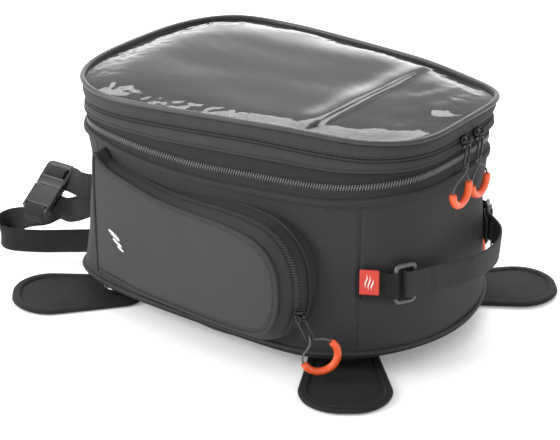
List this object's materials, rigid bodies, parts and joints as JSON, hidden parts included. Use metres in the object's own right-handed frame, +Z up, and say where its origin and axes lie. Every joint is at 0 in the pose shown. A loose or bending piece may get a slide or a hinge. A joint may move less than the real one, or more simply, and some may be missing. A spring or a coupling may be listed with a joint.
{
  "type": "motorcycle tank bag",
  "caption": "Expandable soft bag that straps to a fuel tank, with a clear-topped hinged lid, side pockets, splayed magnet flaps, a rear carrying handle and a front buckle strap.",
  "frame": {"origin": "middle of the padded underside, on the surface the bag stands on", "axes": "+Z up, +X towards the rider and the carrying handle, -Y towards the near side pocket"},
  "size_m": [0.5233, 0.3565, 0.215],
  "materials": {
    "base_fabric": "knitted, padded",
    "buckle_plastic": "moulded, satin",
    "clear_film": "clear vinyl",
    "cord_grey": "braided cord",
    "disc_plastic": "moulded, glossy",
    "handle_webbing": "ribbed webbing",
    "label_rubber": "moulded rubber",
    "lid_fabric": "woven nylon",
    "pocket_fabric": "woven nylon",
    "puller_metal": "gunmetal coating",
    "ring_plastic": "moulded, grey",
    "shell_fabric": "woven nylon",
    "slider_metal": "black coating",
    "trim_fabric": "ribbed tape",
    "tube_orange": "soft vinyl tube",
    "vinyl_piping": "smooth vinyl",
    "webbing": "ribbed webbing",
    "zip_coil": "coil teeth on woven tape"
  },
  "bodies": {
    "bag": {"base_board": "base_fabric", "base_pad": "base_fabric", "base_piping": "vinyl_piping", "body_shell": "shell_fabric", "lower_binding": "trim_fabric", "expansion_zip_lower": "zip_coil", "near_pocket": "pocket_fabric", "near_pocket_piping": "vinyl_piping", "near_pocket_zip": "zip_coil", "far_pocket": "pocket_fabric", "far_pocket_piping": "vinyl_piping", "far_pocket_zip": "zip_coil", "near_anchor_tab": "trim_fabric", "far_anchor_tab": "trim_fabric", "near_ring": "ring_plastic", "far_ring": "ring_plastic", "handle_webbing": "handle_webbing", "side_label": "label_rubber", "lower_strap": "webbing", "buckle_female": "buckle_plastic", "upper_discs": "disc_plastic"},
    "expansion_ring": {"expansion_zip_upper": "zip_coil", "expansion_gusset": "shell_fabric", "upper_ring": "shell_fabric", "main_zip_lower": "zip_coil"},
    "lid": {"main_zip_upper": "zip_coil", "lid_band": "lid_fabric", "lid_panel": "lid_fabric", "rim_piping": "vinyl_piping", "map_window": "clear_film"},
    "buckle_half": {"buckle_male": "buckle_plastic", "upper_strap": "webbing", "strap_tail": "webbing"},
    "lid_a_slider_body": {"lid_a_slider": "slider_metal"},
    "lid_a_pull": {"lid_a_puller": "puller_metal", "lid_a_cord": "cord_grey", "lid_a_tube": "tube_orange"},
    "lid_b_slider_body": {"lid_b_slider": "slider_metal"},
    "lid_b_pull": {"lid_b_puller": "puller_metal", "lid_b_cord": "cord_grey", "lid_b_tube": "tube_orange"},
    "near_pocket_slider_body": {"near_pocket_slider": "slider_metal"},
    "near_pocket_pull": {"near_pocket_puller": "puller_metal", "near_pocket_cord": "cord_grey", "near_pocket_tube": "tube_orange"},
    "far_pocket_slider_body": {"far_pocket_slider": "slider_metal"},
    "far_pocket_pull": {"far_pocket_puller": "puller_metal", "far_pocket_cord": "cord_grey", "far_pocket_tube": "tube_orange"},
    "expansion_slider_body": {"expansion_slider": "slider_metal"},
    "expansion_pull": {"expansion_puller": "puller_metal"},
    "rear_near_flap_body": {"rear_near_flap": "base_fabric", "rear_near_lower_disc": "disc_plastic"},
    "rear_far_flap_body": {"rear_far_flap": "base_fabric", "rear_far_lower_disc": "disc_plastic"},
    "front_near_flap_body": {"front_near_flap": "base_fabric", "front_near_lower_disc": "disc_plastic"},
    "front_far_flap_body": {"front_far_flap": "base_fabric", "front_far_lower_disc": "disc_plastic"}
  },
  "joints": [
    {"name": "expansion_slide", "type": "slide", "parent": "bag", "child": "expansion_ring", "axis": [0, 0, 1], "range_m": [0, 0.05], "deforming": ["expansion_gusset"]},
    {"name": "lid_hinge", "type": "hinge", "parent": "expansion_ring", "child": "lid", "pos_m": [-0.1845, 0, 0.198], "axis": [0, -1, 0], "range_deg": [0, 105]},
    {"name": "lid_a_slider_slide", "type": "slide", "parent": "expansion_ring", "child": "lid_a_slider_body", "axis": [0, -1, 0], "range_m": [0, 0.03]},
    {"name": "lid_a_pull_hinge", "type": "hinge", "parent": "lid_a_slider_body", "child": "lid_a_pull", "pos_m": [0.18917, -0.004, 0.1995], "axis": [0, -1, 0], "range_deg": [0, 90]},
    {"name": "lid_b_slider_slide", "type": "slide", "parent": "expansion_ring", "child": "lid_b_slider_body", "axis": [0, 1, 0], "range_m": [0, 0.03]},
    {"name": "lid_b_pull_hinge", "type": "hinge", "parent": "lid_b_slider_body", "child": "lid_b_pull", "pos_m": [0.18917, 0.018, 0.1995], "axis": [0, -1, 0], "range_deg": [0, 90]},
    {"name": "near_pocket_slider_slide", "type": "slide", "parent": "bag", "child": "near_pocket_slider_body", "axis": [0, 0, 1], "range_m": [0, 0.03]},
    {"name": "near_pocket_pull_hinge", "type": "hinge", "parent": "near_pocket_slider_body", "child": "near_pocket_pull", "pos_m": [0.11258, -0.14693, 0.0675], "axis": [-0.7071, -0.7071, 0], "range_deg": [0, 90]},
    {"name": "far_pocket_slider_slide", "type": "slide", "parent": "bag", "child": "far_pocket_slider_body", "axis": [0, 0, 1], "range_m": [0, 0.03]},
    {"name": "far_pocket_pull_hinge", "type": "hinge", "parent": "far_pocket_slider_body", "child": "far_pocket_pull", "pos_m": [0.11258, 0.14693, 0.0675], "axis": [0.7071, -0.7071, 0], "range_deg": [0, 90]},
    {"name": "expansion_slider_slide", "type": "slide", "parent": "bag", "child": "expansion_slider_body", "axis": [1, 0, 0], "range_m": [0, 0.03]},
    {"name": "expansion_pull_hinge", "type": "hinge", "parent": "expansion_slider_body", "child": "expansion_pull", "pos_m": [-0.01, 0.12988, 0.1755], "axis": [1, 0, 0], "range_deg": [0, 90]},
    {"name": "rear_near_flap_hinge", "type": "hinge", "parent": "bag", "child": "rear_near_flap_body", "pos_m": [0.118, -0.087, 0], "axis": [0, 0, 1], "range_deg": [-30, 30]},
    {"name": "rear_far_flap_hinge", "type": "hinge", "parent": "bag", "child": "rear_far_flap_body", "pos_m": [0.124, 0.089, 0], "axis": [0, 0, 1], "range_deg": [-30, 30]},
    {"name": "front_near_flap_hinge", "type": "hinge", "parent": "bag", "child": "front_near_flap_body", "pos_m": [-0.133, -0.096, 0], "axis": [0, 0, 1], "range_deg": [-8, 40]},
    {"name": "front_far_flap_hinge", "type": "hinge", "parent": "bag", "child": "front_far_flap_body", "pos_m": [-0.133, 0.096, 0], "axis": [0, 0, 1], "range_deg": [-30, 30]},
    {"name": "buckle_slide", "type": "slide", "parent": "bag", "child": "buckle_half", "axis": [0, 0.7986, 0.6018], "range_m": [0, 0.025]}
  ]
}
